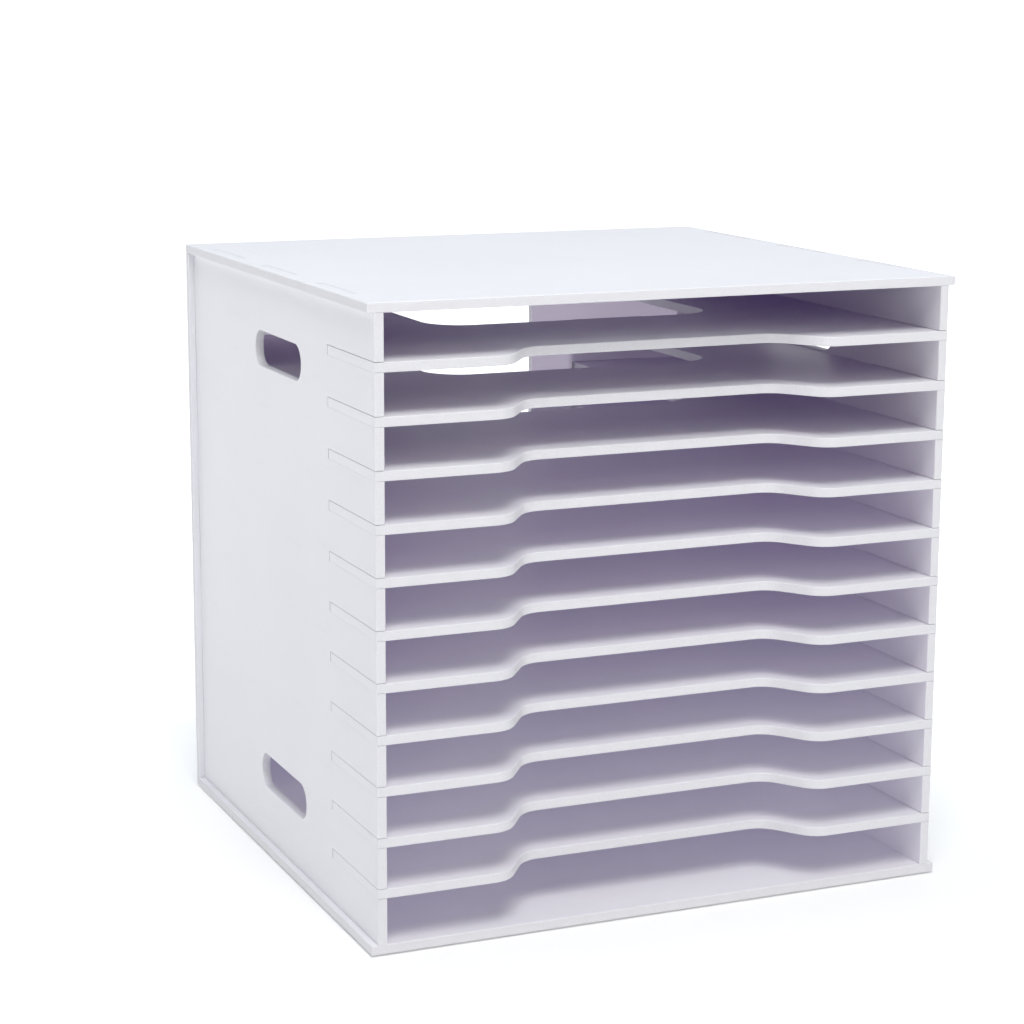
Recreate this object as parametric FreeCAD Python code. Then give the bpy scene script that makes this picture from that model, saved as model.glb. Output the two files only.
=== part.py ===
import FreeCAD, Part
import math
import os

# Slotted-board paper rack: two square boards above and below, two side panels with open-fronted slots,
# a back board with a large window, and eleven loose dividers that make twelve flat compartments.
# Units are millimetres. X runs left to right, Y front to back, Z up.
# The origin is the centre of the footprint, on the surface that the rack stands on.

V = FreeCAD.Vector

# ---- driving dimensions -------------------------------------------------------------------------------
WIDTH = 330.0            # top and bottom boards, left to right
DEPTH = 310.0            # top and bottom boards, front to back
HEIGHT = 330.0           # floor to the upper face of the top board
BOARD = 5.0              # thickness of every board
OVERHANG = 3.5           # top and bottom boards reach this far past each side panel
EDGE = 0.3               # chamfer along the outlines, the window and the handle holes; the ears stay sharp outside

COMPARTMENTS = 12
PITCH = 26.6667          # spacing of the dividers
FIRST_GAP = 24.0         # clear height of the top compartment

SLOT_LOW = 0.06          # play under a divider's ear or tab in its slot
SLOT_HIGH = 0.3          # play over it
SIDE_PLAY = 0.45         # play between a divider and the inner face of a side panel
END_GAP = 0.8            # gap between an ear's rear end and the end of its slot
SLOT_DEPTH = 69.0        # open-fronted slots of the side panels, measured from the front
REAR_PLAY = 0.2          # play between a divider's rear edge and the back board

FRONT_RECESS = 26.0      # depth of the finger recess in a divider's front edge
RECESS_IN = 62.5         # half width of the recess where it is deepest
RECESS_OUT = 97.5        # half width of the recess at the front edge
RECESS_R = 16.0          # radius of both bends of its S-shaped ends

REAR_EDGE_TOP = 115.0    # front edge of the rear recess in the two upper dividers, measured from the front
REAR_EDGE_LOW = 139.0    # the same in the dividers below, through which the window can't be seen
LEG_X = 84.0             # inner edge of the two legs beside the rear recess
LEG_R = 22.0             # radius in the corners of the rear recess
TAB_OUT = 130.0          # outer edge of the rear tabs
TAB_GAP_IN = 1.2         # the back board's slot starts this far inboard of the tab
TAB_GAP_OUT = 0.6

HANDLE_FRONT = 111.0     # carrying-handle holes, from the front
HANDLE_REAR = 189.0
HANDLE_H = 19.5
HANDLE_R = 9.5
HANDLE_UPPER_Z = 285.2   # centre heights
HANDLE_LOWER_Z = 45.2

WINDOW_X = 55.0          # half width of the back board's window
WINDOW_Z0 = 30.0
WINDOW_Z1 = 300.0
WINDOW_R = 18.0

TAB_LEN = 50.0           # side panel tabs through the top, bottom and back boards
TAB_PLAY_END = 0.4
TAB_PLAY_FACE = 0.08
TABS_Y = (37.5, 129.0, 220.5)      # front ends, from the front, of the tabs in the top and bottom boards
TABS_Z = (43.0, 140.0, 237.0)      # lower ends of the tabs in the back board

# ---- derived ------------------------------------------------------------------------------------------
YF = -DEPTH / 2                                  # front plane
YB = DEPTH / 2                                   # rear plane
PANEL_OUT = WIDTH / 2 - OVERHANG                 # outer face of a side panel
PANEL_IN = PANEL_OUT - BOARD                     # inner face of a side panel
BACK_IN = YB - BOARD                             # front face of the back board
TOP_IN = HEIGHT - BOARD                          # lower face of the top board
DIVIDER_Z = [TOP_IN - FIRST_GAP - BOARD - i * PITCH for i in range(COMPARTMENTS - 1)]   # lower faces


def box(x0, x1, y0, y1, z0, z1):
    return Part.makeBox(x1 - x0, y1 - y0, z1 - z0, V(x0, y0, z0))


def arc(a, m, b):
    return Part.Arc(a, m, b).toShape()


def line(a, b):
    return Part.LineSegment(a, b).toShape()


def chamfered(shape, normal, sharp_beyond=None):
    """Chamfer the edges around the two large faces that look along +normal and -normal, but not those that lie
    wholly further out in X than sharp_beyond."""
    edges = []
    for face in shape.Faces:
        n = face.normalAt(0, 0)
        if abs(n.dot(normal)) > 0.999 and face.Area > 400.0:
            edges.extend(face.Edges)
    unique = []
    for e in edges:
        if sharp_beyond is not None and min(abs(v.X) for v in e.Vertexes) > sharp_beyond:
            continue
        if not any(e.isSame(u) for u in unique):
            unique.append(e)
    return shape.makeChamfer(EDGE, unique)


def s_end(sign):
    """The S-shaped end of the finger recess from its deep side to the front edge: two tangent arcs of one
    radius with a straight between them. Returned as points in plan for X of the given sign."""
    dx = RECESS_OUT - RECESS_IN
    e = FRONT_RECESS - 2 * RECESS_R
    run = math.sqrt(dx * dx + e * e - 4 * RECESS_R ** 2)
    k = 4 * RECESS_R ** 2 + run * run
    s = (2 * RECESS_R * dx + run * e) / k
    c = (run * dx - 2 * RECESS_R * e) / k
    turn = math.atan2(s, c)
    c1 = (RECESS_IN, FRONT_RECESS - RECESS_R)
    c2 = (RECESS_OUT, RECESS_R)

    def at(centre, ang, up):
        return V(sign * (centre[0] + up * RECESS_R * math.sin(ang)), YF + centre[1] + up * RECESS_R * math.cos(ang), 0)

    return [at(c1, 0, 1), at(c1, turn / 2, 1), at(c1, turn, 1), at(c2, turn, -1), at(c2, turn / 2, -1), at(c2, 0, -1)]


def divider(z, rear_edge):
    """One divider: finger recess in front, an ear each side, a deep rear recess between two legs, rear tabs."""
    body_x = PANEL_IN - SIDE_PLAY
    rear = BACK_IN - REAR_PLAY
    ear_end = YF + SLOT_DEPTH - END_GAP
    edges = []
    corners = {}
    for sign in (1, -1):
        s0, s1, s2, s3, s4, s5 = s_end(sign)
        p = [
            s5,
            V(sign * PANEL_OUT, YF, 0),
            V(sign * PANEL_OUT, ear_end, 0),
            V(sign * body_x, ear_end, 0),
            V(sign * body_x, rear, 0),
            V(sign * TAB_OUT, rear, 0),
            V(sign * TAB_OUT, YB - 0.2, 0),
            V(sign * LEG_X, YB - 0.2, 0),
            V(sign * LEG_X, YF + rear_edge + LEG_R, 0),
        ]
        edges += [arc(s0, s1, s2), line(s2, s3), arc(s3, s4, s5)]
        edges += [line(p[i], p[i + 1]) for i in range(len(p) - 1)]
        c = V(sign * (LEG_X - LEG_R), YF + rear_edge + LEG_R, 0)
        q = math.sqrt(0.5) * LEG_R
        edges.append(arc(p[-1], V(c.x + sign * q, c.y - q, 0), V(c.x, YF + rear_edge, 0)))
        corners[sign] = (s0, V(c.x, YF + rear_edge, 0))
    edges.append(line(corners[-1][0], corners[1][0]))
    edges.append(line(corners[-1][1], corners[1][1]))
    wire = Part.Wire(Part.__sortEdges__(edges))
    solid = Part.Face(wire).extrude(V(0, 0, BOARD))
    solid = chamfered(solid, V(0, 0, 1), PANEL_IN - 1.0)
    solid.translate(V(0, 0, z))
    return solid


def rounded_hole(u0, u1, v0, v1, r, to3d, direction, depth):
    """A prism through a board with a rounded rectangle as its section; to3d maps (u, v) to a point."""
    q = r * (1 - math.sqrt(0.5))
    pts = [
        ("l", (u0 + r, v0), (u1 - r, v0)),
        ("a", (u1 - r, v0), (u1 - q, v0 + q), (u1, v0 + r)),
        ("l", (u1, v0 + r), (u1, v1 - r)),
        ("a", (u1, v1 - r), (u1 - q, v1 - q), (u1 - r, v1)),
        ("l", (u1 - r, v1), (u0 + r, v1)),
        ("a", (u0 + r, v1), (u0 + q, v1 - q), (u0, v1 - r)),
        ("l", (u0, v1 - r), (u0, v0 + r)),
        ("a", (u0, v0 + r), (u0 + q, v0 + q), (u0 + r, v0)),
    ]
    edges = []
    for item in pts:
        if item[0] == "l":
            a, b = to3d(*item[1]), to3d(*item[2])
            if a.distanceToPoint(b) > 1e-6:
                edges.append(line(a, b))
        else:
            edges.append(arc(to3d(*item[1]), to3d(*item[2]), to3d(*item[3])))
    return Part.Face(Part.Wire(edges)).extrude(direction * depth)


def side_panel(sign):
    """Upright panel with eleven open-fronted slots, two handle holes and through tabs on three edges."""
    x0, x1 = sorted((sign * PANEL_IN, sign * PANEL_OUT))
    panel = box(x0, x1, YF, BACK_IN, BOARD, TOP_IN)
    for zc in (HANDLE_LOWER_Z, HANDLE_UPPER_Z):
        hole = rounded_hole(YF + HANDLE_FRONT, YF + HANDLE_REAR, zc - HANDLE_H / 2, zc + HANDLE_H / 2, HANDLE_R,
                            lambda u, v: V(x0 - 1, u, v), V(1, 0, 0), BOARD + 2)
        panel = panel.cut(hole)
    panel = chamfered(panel, V(1, 0, 0))
    for z in DIVIDER_Z:
        panel = panel.cut(box(x0 - 1, x1 + 1, YF - 1, YF + SLOT_DEPTH, z - SLOT_LOW, z + BOARD + SLOT_HIGH))
    for y in TABS_Y:
        panel = panel.fuse(box(x0, x1, YF + y, YF + y + TAB_LEN, TOP_IN - 1, HEIGHT - 0.1))
        panel = panel.fuse(box(x0, x1, YF + y, YF + y + TAB_LEN, 0.1, BOARD + 1))
    for z in TABS_Z:
        panel = panel.fuse(box(x0, x1, BACK_IN - 1, YB - 0.1, z, z + TAB_LEN))
    return panel.removeSplitter()


def flat_board(z0):
    """Top or bottom board with three slots each side for the side panels' tabs."""
    board = chamfered(box(-WIDTH / 2, WIDTH / 2, YF, YB, z0, z0 + BOARD), V(0, 0, 1))
    for sign in (-1, 1):
        x0, x1 = sorted((sign * (PANEL_IN - TAB_PLAY_FACE), sign * (PANEL_OUT + TAB_PLAY_FACE)))
        for y in TABS_Y:
            board = board.cut(box(x0, x1, YF + y - TAB_PLAY_END, YF + y + TAB_LEN + TAB_PLAY_END, z0 - 1, z0 + BOARD + 1))
    return board


def back_board():
    """Rear board between the top and bottom boards: central window, slots for the dividers' tabs and the side
    panels' tabs."""
    board = box(-WIDTH / 2, WIDTH / 2, BACK_IN, YB, BOARD, TOP_IN)
    window = rounded_hole(-WINDOW_X, WINDOW_X, WINDOW_Z0, WINDOW_Z1, WINDOW_R,
                          lambda u, v: V(u, BACK_IN - 1, v), V(0, 1, 0), BOARD + 2)
    board = chamfered(board.cut(window), V(0, 1, 0))
    for sign in (-1, 1):
        x0, x1 = sorted((sign * (LEG_X - TAB_GAP_IN), sign * (TAB_OUT + TAB_GAP_OUT)))
        for z in DIVIDER_Z:
            board = board.cut(box(x0, x1, BACK_IN - 1, YB + 1, z - SLOT_LOW, z + BOARD + SLOT_HIGH))
        x0, x1 = sorted((sign * (PANEL_IN - TAB_PLAY_FACE), sign * (PANEL_OUT + TAB_PLAY_FACE)))
        for z in TABS_Z:
            board = board.cut(box(x0, x1, BACK_IN - 1, YB + 1, z - TAB_PLAY_END, z + TAB_LEN + TAB_PLAY_END))
    return board


parts = {
    "top_board": flat_board(TOP_IN),
    "bottom_board": flat_board(0.0),
    "left_side_panel": side_panel(-1),
    "right_side_panel": side_panel(1),
    "back_board": back_board(),
}
for i, z in enumerate(DIVIDER_Z):
    parts["divider_%02d" % (i + 1)] = divider(z, REAR_EDGE_TOP if i < 2 else REAR_EDGE_LOW)

os.makedirs("parts", exist_ok=True)
total = 0.0
for name, shape in parts.items():
    if shape.ShapeType != "Solid":
        shape = shape.Solids[0] if len(shape.Solids) == 1 else shape
    assert shape.isValid(), name
    assert len(shape.Solids) == 1, name
    total += shape.Volume
    shape.exportStep("parts/%s.step" % name)
    bb = shape.BoundBox
    print("%-18s x %8.2f %8.2f  y %8.2f %8.2f  z %8.2f %8.2f  vol %10.0f  faces %d"
          % (name, bb.XMin, bb.XMax, bb.YMin, bb.YMax, bb.ZMin, bb.ZMax, shape.Volume, len(shape.Faces)))
print("total volume mm3 %.0f" % total)
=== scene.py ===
import math
import bpy
from mathutils import Matrix, Vector


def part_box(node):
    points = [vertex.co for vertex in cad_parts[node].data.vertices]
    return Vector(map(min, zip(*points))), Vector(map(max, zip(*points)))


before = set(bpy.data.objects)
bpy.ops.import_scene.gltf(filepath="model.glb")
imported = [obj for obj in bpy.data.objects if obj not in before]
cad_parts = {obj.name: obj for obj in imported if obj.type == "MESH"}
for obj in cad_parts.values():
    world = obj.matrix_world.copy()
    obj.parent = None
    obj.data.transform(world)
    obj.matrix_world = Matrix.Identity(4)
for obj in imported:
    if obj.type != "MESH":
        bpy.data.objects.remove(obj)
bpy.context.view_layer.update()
scene = bpy.context.scene

# ---- tunable looks ------------------------------------------------------------------------------------
OUTER = (0.795, 0.790, 0.825)      # satin skin of the white foam board, outside the rack
INNER_PAINTED_SHADE = (0.700, 0.684, 0.712)      # painted shade: the same skin, darker deep in the compartments where shade falls
CUT = (0.780, 0.773, 0.800)        # its sawn edges
# painted glow, a faint emission that brightens the compartments: near the floor, at half height, near the top
PAINTED_GLOW = ((0.070, 0.066, 0.095), (0.040, 0.033, 0.061), (0.004, 0.000, 0.015))
# painted light on the back board beside the top of its window
PAINTED_BACK_LIGHT = (0.26, 0.235, 0.285)


# ---- node helpers -------------------------------------------------------------------------------------
class Tree:
    def __init__(self, name):
        self.mat = bpy.data.materials.new(name)
        self.mat.use_nodes = True
        self.mat.cycles.emission_sampling = "NONE"      # the painted glow is too faint and wide to be worth aiming at
        self.nt = self.mat.node_tree
        self.nt.nodes.clear()
        self.x = 0

    def add(self, kind, **values):
        n = self.nt.nodes.new(kind)
        n.location = (self.x, 0)
        self.x += 160
        for k, v in values.items():
            setattr(n, k, v)
        return n

    def link(self, a, b):
        self.nt.links.new(a, b)

    def put(self, socket, value):
        """value is a number, a tuple or an output socket"""
        if hasattr(value, "is_linked") or hasattr(value, "links"):
            self.link(value, socket)
        else:
            socket.default_value = value

    def math(self, op, a, b=0.0, c=None, clamp=False):
        n = self.add("ShaderNodeMath", operation=op, use_clamp=clamp)
        self.put(n.inputs[0], a)
        self.put(n.inputs[1], b)
        if c is not None:
            self.put(n.inputs[2], c)
        return n.outputs[0]

    def ramp(self, value, lo, hi, a=0.0, b=1.0):
        n = self.add("ShaderNodeMapRange", interpolation_type="SMOOTHSTEP")
        self.put(n.inputs["Value"], value)
        n.inputs["From Min"].default_value = lo
        n.inputs["From Max"].default_value = hi
        n.inputs["To Min"].default_value = a
        n.inputs["To Max"].default_value = b
        return n.outputs["Result"]

    def noise(self, vector, scale, detail=3.0, rough=0.5, kind="3D"):
        n = self.add("ShaderNodeTexNoise", noise_dimensions=kind)
        self.link(vector, n.inputs["Vector"])
        n.inputs["Scale"].default_value = scale
        n.inputs["Detail"].default_value = detail
        n.inputs["Roughness"].default_value = rough
        return n.outputs["Fac"]

    def scaled(self, vector, factors):
        n = self.add("ShaderNodeVectorMath", operation="MULTIPLY")
        self.link(vector, n.inputs[0])
        n.inputs[1].default_value = factors
        return n.outputs[0]

    def mix(self, fac, a, b):
        n = self.add("ShaderNodeMix", data_type="RGBA")
        self.put(n.inputs["Factor"], fac)
        self.put(n.inputs[6], a)
        self.put(n.inputs[7], b)
        return n.outputs[2]

    def mult(self, a, b):
        n = self.add("ShaderNodeMix", data_type="RGBA", blend_type="MULTIPLY")
        n.inputs["Factor"].default_value = 1.0
        self.put(n.inputs[6], a)
        self.put(n.inputs[7], b)
        return n.outputs[2]

    def mixf(self, fac, a, b):
        n = self.add("ShaderNodeMix", data_type="FLOAT")
        self.put(n.inputs["Factor"], fac)
        self.put(n.inputs[2], a)
        self.put(n.inputs[3], b)
        return n.outputs[0]


def rgba(c, k=(1.0, 1.0, 1.0)):
    return (c[0] * k[0], c[1] * k[1], c[2] * k[2], 1.0)


def board_material(name, axis, inward, seed, lo, hi):
    """Rigid foam board: satin skin on the two large faces, sawn cellular foam on the cut edges, with light handling
    wear along the outline. axis is the board's thickness direction, inward the sign of the large face that looks
    into the rack (0 when both do); lo and hi are the board's box, in metres."""
    t = Tree(name)
    coord = t.add("ShaderNodeTexCoord")
    pos = coord.outputs["Object"]
    sep = t.add("ShaderNodeSeparateXYZ")
    t.link(pos, sep.inputs[0])
    nrm = t.add("ShaderNodeSeparateXYZ")
    t.link(coord.outputs["Normal"], nrm.inputs[0])
    along = t.math("ABSOLUTE", nrm.outputs[axis])
    cut = t.ramp(along, 0.72, 0.35)                     # 1 on the sawn edges, 0 on the skin
    side = t.math("ABSOLUTE", sep.outputs[0])
    if inward:
        inner = t.ramp(t.math("MULTIPLY", nrm.outputs[axis], float(inward)), 0.3, 0.7)
        if axis:                                        # the overhang outside the side panels is an outer face
            inner = t.math("MULTIPLY", inner, t.math("LESS_THAN", side, 0.159))
    else:
        inner = t.math("SUBTRACT", 1.0, cut, clamp=True)
    # painted shade weight on the inner faces; it also sets the strength of the painted glow
    deep_shade_and_glow = inner
    if axis == 2:                                       # painted light and shade: level boards keep the lighter outer colour along the recessed front edge and take the painted shade further in
        recess = t.ramp(side, 0.0975, 0.0625, 0.0, 0.026)
        depth = t.math("SUBTRACT", t.math("SUBTRACT", sep.outputs[1], -0.155), recess)
        deep_shade_and_glow = t.math("MULTIPLY", inner, t.ramp(depth, 0.003, 0.026))
    plain = 1.0
    if not inward:      # a divider's ears end flush with the side panels, trimmed as smooth as their skin
        ear = t.math("MULTIPLY", t.math("GREATER_THAN", side, 0.1612),
                     t.math("GREATER_THAN", t.math("ABSOLUTE", nrm.outputs[0]), 0.9))
        plain = t.math("SUBTRACT", 1.0, ear)
        cut = t.math("MULTIPLY", cut, plain)

    shifted = t.add("ShaderNodeVectorMath", operation="ADD")
    t.link(pos, shifted.inputs[0])
    shifted.inputs[1].default_value = (seed * 0.37, seed * 0.19, seed * 0.53)
    p = shifted.outputs[0]

    # skin: soft clouding of the sheet, a faint drift of hue, a very fine pebble and long faint rubbing marks
    cloud = t.noise(p, 9.0, 3.0, 0.5)
    hue = t.noise(p, 21.0, 2.0, 0.45)
    fine = t.noise(p, 420.0, 3.0, 0.6)
    pebble = t.noise(p, 1500.0, 2.0, 0.5)
    streak = t.noise(t.scaled(p, (3.0, 34.0, 34.0) if axis == 1 else (34.0, 3.0, 34.0)), 6.0, 4.0, 0.62)
    rub = t.ramp(streak, 0.60, 0.74)

    # distance to the board's own outline, for wear near its edges
    dist = None
    for a in [a for a in (0, 1, 2) if a != axis]:
        d0 = t.math("SUBTRACT", sep.outputs[a], lo[a])
        d1 = t.math("SUBTRACT", hi[a], sep.outputs[a])
        d = t.math("MINIMUM", d0, d1)
        dist = d if dist is None else t.math("MINIMUM", dist, d)
    rim = t.math("MULTIPLY", t.ramp(dist, 0.009, 0.0005), plain)
    blot = t.noise(p, 60.0, 4.0, 0.6)
    wear = t.math("MULTIPLY", rim, t.ramp(blot, 0.50, 0.70), clamp=True)

    # sawn edge: closed cells and the saw's fine lines along the cut
    cells = t.add("ShaderNodeTexVoronoi", feature="F1")
    t.link(p, cells.inputs["Vector"])
    cells.inputs["Scale"].default_value = 1900.0
    pores = t.ramp(cells.outputs["Distance"], 0.25, 0.62)
    fine_axis = [4.0, 4.0, 4.0]
    fine_axis[axis] = 900.0
    saw = t.noise(t.scaled(p, fine_axis), 3.0, 2.0, 0.5)

    clouds = t.ramp(cloud, 0.35, 0.68)
    tint = t.ramp(hue, 0.36, 0.66)
    outer_col = t.mix(clouds, rgba(OUTER, (1.006, 1.006, 1.006)), rgba(OUTER, (0.988, 0.988, 0.990)))
    # painted shade: inner faces darken towards the painted-shade colour deep in the rack
    inner_painted_shade_col = t.mix(deep_shade_and_glow, rgba(OUTER), rgba(INNER_PAINTED_SHADE))
    shade = t.mix(clouds, rgba((1.012, 1.012, 1.010)), rgba((0.982, 0.982, 0.986)))
    shade = t.mix(t.math("MULTIPLY", tint, 0.6), shade, rgba((1.016, 0.990, 0.992)))
    inner_painted_shade_col = t.mult(inner_painted_shade_col, shade)
    skin_col = t.mix(inner, outer_col, inner_painted_shade_col)
    skin_col = t.mix(t.math("MULTIPLY", rub, 0.10), skin_col, rgba(OUTER, (0.93, 0.925, 0.93)))
    skin_col = t.mix(t.math("MULTIPLY", wear, 0.30), skin_col, rgba(OUTER, (0.90, 0.895, 0.89)))
    cut_col = t.mix(pores, rgba(CUT, (0.93, 0.93, 0.93)), rgba(CUT))
    cut_col = t.mix(t.math("MULTIPLY", t.ramp(saw, 0.45, 0.7), 0.5), cut_col, rgba(CUT, (0.965, 0.965, 0.965)))
    colour = t.mix(cut, skin_col, cut_col)

    rough_skin = t.math("ADD", t.math("MULTIPLY", fine, 0.10), 0.40)
    rough_skin = t.math("ADD", rough_skin, t.math("MULTIPLY", rub, 0.16))
    rough_skin = t.math("ADD", rough_skin, t.math("MULTIPLY", wear, 0.12))
    rough = t.mixf(cut, rough_skin, 0.72)

    h_skin = t.math("ADD", t.math("MULTIPLY", fine, 0.55), t.math("MULTIPLY", pebble, 0.45))
    h_cut = t.math("ADD", t.math("MULTIPLY", pores, 0.8), t.math("MULTIPLY", saw, 0.9))
    height = t.mixf(cut, h_skin, h_cut)
    bump = t.add("ShaderNodeBump")
    bump.inputs["Strength"].default_value = 0.45
    bump.inputs["Distance"].default_value = 0.00012
    t.link(height, bump.inputs["Height"])

    bsdf = t.add("ShaderNodeBsdfPrincipled")
    t.link(colour, bsdf.inputs["Base Color"])
    t.link(rough, bsdf.inputs["Roughness"])
    # painted glow: emission colour in the compartments, strongest low down and nearly none near the top
    painted_glow = t.mix(t.ramp(sep.outputs[2], 0.05, 0.18), rgba(PAINTED_GLOW[0]), rgba(PAINTED_GLOW[1]))
    painted_glow = t.mix(t.ramp(sep.outputs[2], 0.20, 0.28), painted_glow, rgba(PAINTED_GLOW[2]))
    if axis == 1:       # painted light: the back board glows beside the top of its window, dimmer where the dividers would shade it
        painted_lit_zone = t.math("MAXIMUM", t.ramp(side, 0.079, 0.085, 1.0, 0.2), t.ramp(sep.outputs[2], 0.262, 0.268))
        painted_glow = t.mix(t.math("MULTIPLY", painted_lit_zone, t.ramp(sep.outputs[2], 0.230, 0.246)), painted_glow, rgba(PAINTED_BACK_LIGHT))
    t.link(painted_glow, bsdf.inputs["Emission Color"])
    t.link(deep_shade_and_glow, bsdf.inputs["Emission Strength"])
    bsdf.inputs["IOR"].default_value = 1.46
    bsdf.inputs["Specular IOR Level"].default_value = 0.36
    t.link(bump.outputs[0], bsdf.inputs["Normal"])
    out = t.add("ShaderNodeOutputMaterial")
    t.link(bsdf.outputs[0], out.inputs["Surface"])
    return t.mat


AXES = {"top_board": (2, -1), "bottom_board": (2, 1), "left_side_panel": (0, 1), "right_side_panel": (0, -1),
        "back_board": (1, -1)}
for i, (name, obj) in enumerate(sorted(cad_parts.items())):
    lo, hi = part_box(name)
    axis, inward = AXES.get(name, (2, 0))
    mat = board_material("foam_board_" + name, axis, inward, i + 1, lo, hi)
    obj.data.materials.clear()
    obj.data.materials.append(mat)

# ---- floor --------------------------------------------------------------------------------------------
half = 140.0
mesh = bpy.data.meshes.new("floor")
mesh.from_pydata([(-half, -half, 0), (half, -half, 0), (half, half, 0), (-half, half, 0)], [], [(0, 1, 2, 3)])
floor = bpy.data.objects.new("floor", mesh)
floor.location.z = -0.0011
scene.collection.objects.link(floor)
ft = Tree("pale_floor")
fc = ft.add("ShaderNodeTexCoord")
fl = ft.add("ShaderNodeVectorMath", operation="DOT_PRODUCT")
ft.link(fc.outputs["Object"], fl.inputs[0])
fl.inputs[1].default_value = (math.sin(math.radians(23.3)), math.cos(math.radians(23.3)), 0.0)
fb = ft.add("ShaderNodeBsdfPrincipled")
fb.inputs["Base Color"].default_value = (0.86, 0.86, 0.86, 1)
fb.inputs["Roughness"].default_value = 0.9
fb.inputs["Specular IOR Level"].default_value = 0.1
fb.inputs["Emission Color"].default_value = (1, 1, 1, 1)
fd = ft.add("ShaderNodeVectorMath", operation="LENGTH")
ft.link(fc.outputs["Object"], fd.inputs[0])
behind = ft.ramp(fl.outputs["Value"], -0.1, 1.0, 0.15, 1.05)
far = ft.ramp(fd.outputs["Value"], 2.1, 4.2, 0.15, 1.05)     # the far floor is white on every side
ft.link(ft.math("MAXIMUM", behind, far), fb.inputs["Emission Strength"])
fo = ft.add("ShaderNodeOutputMaterial")
ft.link(fb.outputs[0], fo.inputs["Surface"])
floor.data.materials.append(ft.mat)

# ---- soft studio light --------------------------------------------------------------------------------
world = bpy.data.worlds.new("studio")
scene.world = world
world.use_nodes = True
wn = world.node_tree
bg = wn.nodes.get("Background") or wn.nodes.new("ShaderNodeBackground")
wc = wn.nodes.new("ShaderNodeTexCoord")
ws = wn.nodes.new("ShaderNodeSeparateXYZ")
wm = wn.nodes.new("ShaderNodeMapRange")
wm.interpolation_type = "SMOOTHSTEP"
wn.links.new(wc.outputs["Generated"], ws.inputs[0])
wn.links.new(ws.outputs[2], wm.inputs["Value"])
wm.inputs["From Min"].default_value = 0.10
wm.inputs["From Max"].default_value = 0.50
wm.inputs["To Min"].default_value = 1.00           # white at the horizon
wm.inputs["To Max"].default_value = 0.03           # dark overhead, where the softboxes hang
wn.links.new(wm.outputs[0], bg.inputs["Strength"])
bg.inputs["Color"].default_value = (1.0, 1.0, 1.0, 1)


def area(name, where, target, size, power, colour=(1.0, 1.0, 1.0)):
    light = bpy.data.lights.new(name, "AREA")
    light.shape = "RECTANGLE"
    light.size, light.size_y = size
    light.energy = power
    light.color = colour
    o = bpy.data.objects.new(name, light)
    o.location = where
    o.rotation_euler = (Vector(target) - Vector(where)).to_track_quat("-Z", "Y").to_euler()
    scene.collection.objects.link(o)
    return o


AIM = Vector((0.0, -0.10, 0.16))
KEY_FROM = AIM + Vector((-0.144, -0.526, 1.0)).normalized() * 3.0
area("key", KEY_FROM, AIM, (1.6, 1.6), 66.0, (1.0, 1.0, 1.0))
area("overhead", (0.0, 0.35, 3.0), (0, 0.1, 0.3), (2.2, 1.6), 41.0, (0.83, 0.92, 1.0))
area("left_fill", (-3.0, 0.5, 1.2), (0, 0.0, 0.16), (2.0, 2.0), 7.0, (1.0, 1.0, 1.0))

# ---- camera -------------------------------------------------------------------------------------------
CAM_AT = Vector((-0.5816, -1.2989, 0.4764))
YAW, PITCH, ROLL = (math.radians(a) for a in (23.29, 11.53, 0.23))
FOCAL = 2554.8                       # in pixels of a 1024 pixel wide frame
f = Vector((math.sin(YAW) * math.cos(PITCH), math.cos(YAW) * math.cos(PITCH), -math.sin(PITCH)))
r = Vector((math.cos(YAW), -math.sin(YAW), 0))
u = r.cross(f)
r2 = r * math.cos(ROLL) + u * math.sin(ROLL)
u2 = u * math.cos(ROLL) - r * math.sin(ROLL)
cam_data = bpy.data.cameras.new("camera")
cam_data.sensor_width = 36.0
cam_data.lens = FOCAL / 1024.0 * 36.0
cam_data.dof.use_dof = False
cam = bpy.data.objects.new("camera", cam_data)
cam.matrix_world = Matrix(((r2.x, u2.x, -f.x, CAM_AT.x), (r2.y, u2.y, -f.y, CAM_AT.y), (r2.z, u2.z, -f.z, CAM_AT.z), (0, 0, 0, 1)))
scene.collection.objects.link(cam)
scene.camera = cam

scene.view_settings.view_transform = "Standard"
scene.view_settings.look = "None"
